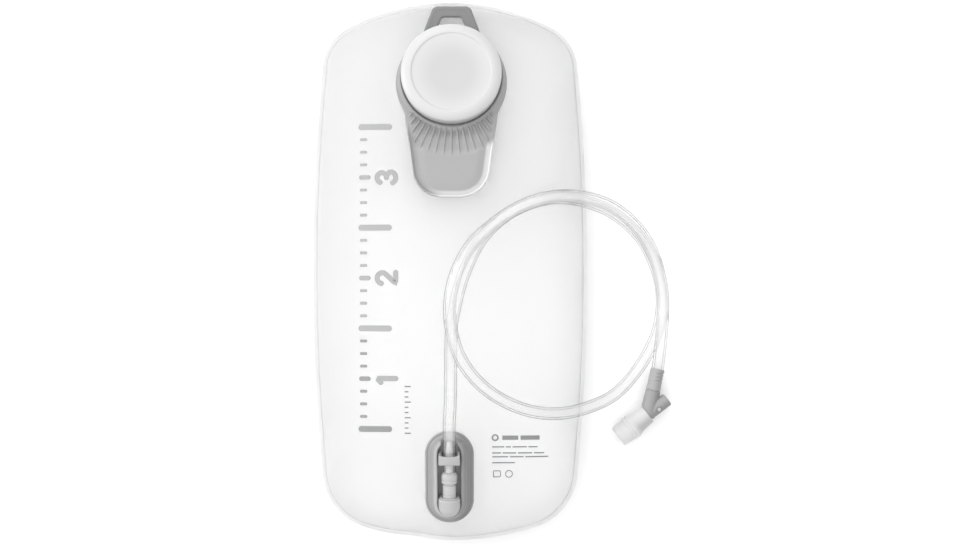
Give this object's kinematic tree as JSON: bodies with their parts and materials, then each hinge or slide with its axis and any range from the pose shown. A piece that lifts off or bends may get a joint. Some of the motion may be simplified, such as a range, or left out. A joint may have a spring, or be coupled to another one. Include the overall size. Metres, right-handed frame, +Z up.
{
  "type": "hydration bladder",
  "caption": "Filled flat water reservoir with a screw-capped mouth in a grip handle, a quick-release port and a long drinking hose ending in an elbowed bite valve.",
  "frame": {"origin": "floor point under the middle of the reservoir's outline as it lies on its back, filled", "axes": "+Y towards the filling mouth's end of the reservoir, +Z up out of the front film, +X to the side the hose lies on"},
  "size_m": [0.2732, 0.408, 0.0814],
  "materials": {
    "film": "clear frosted film",
    "handle": "soft satin grey",
    "neck": "translucent satin",
    "cap": "frosted translucent",
    "seal": "soft matte silicone",
    "port": "satin light grey",
    "socket": "satin light grey",
    "button": "satin light grey",
    "spring": "bright wire",
    "plug": "satin light grey",
    "hose": "clear flexible tube",
    "sleeve": "soft satin grey",
    "valve": "satin grey",
    "core": "satin light grey",
    "bite": "frosted soft silicone"
  },
  "bodies": {
    "reservoir": {"bag_back_film": "film", "bag_front_film": "film", "handle_flange": "handle", "neck_ring": "neck", "port_base": "port", "port_socket": "socket", "port_inlet": "socket", "button_spring": "spring", "poppet_spring": "spring"},
    "gasket": {"cap_gasket": "seal"},
    "cap": {"cap_shell": "cap"},
    "button": {"release_button": "button"},
    "poppet": {"shutoff_poppet": "core"},
    "hose_line": {"plug_body": "plug", "plug_oring": "seal", "hose": "hose", "hose_sleeve": "sleeve", "swivel_barb": "core", "swivel_oring": "seal"},
    "elbow": {"elbow_body": "valve", "stop_pin": "spring"},
    "core": {"valve_core": "core", "core_orings": "seal", "bite_sheath": "bite"}
  },
  "joints": [
    {"name": "cap_rise", "type": "slide", "parent": "reservoir", "child": "gasket", "axis": [0, 0.2079, 0.9781], "range_m": [0, 0.0121]},
    {"name": "cap_turn", "type": "hinge", "parent": "gasket", "child": "cap", "pos_m": [0.0015, 0.14678, 0.06078], "axis": [0, 0.2079, 0.9781], "range_deg": [0, 720]},
    {"name": "button_press", "type": "slide", "parent": "reservoir", "child": "button", "axis": [0, 0.2079, -0.9781], "range_m": [0, 0.0015], "stiffness_N_per_m": 800, "springref_m": -0.0005, "deforming": ["button_spring"]},
    {"name": "plug_pull", "type": "slide", "parent": "reservoir", "child": "hose_line", "axis": [0, 0.9781, 0.2079], "range_m": [0, 0.028]},
    {"name": "poppet_slide", "type": "slide", "parent": "reservoir", "child": "poppet", "axis": [0, 0.9781, 0.2079], "range_m": [0, 0.0009]},
    {"name": "elbow_swivel", "type": "hinge", "parent": "hose_line", "child": "elbow", "pos_m": [0.1554, -0.0909, 0.0102], "axis": [0.2181, 0.9759, 0], "range_deg": [0, 180]},
    {"name": "core_twist", "type": "hinge", "parent": "elbow", "child": "core", "pos_m": [0.15123, -0.10954, 0.0102], "axis": [-0.7934, -0.6088, 0], "range_deg": [0, 90]}
  ],
  "couplings": [
    {"joint": "cap_rise", "follows": "cap_turn", "m_per_rad": 0.00095493},
    {"joint": "poppet_slide", "follows": "plug_pull", "ratio": 0.032}
  ]
}
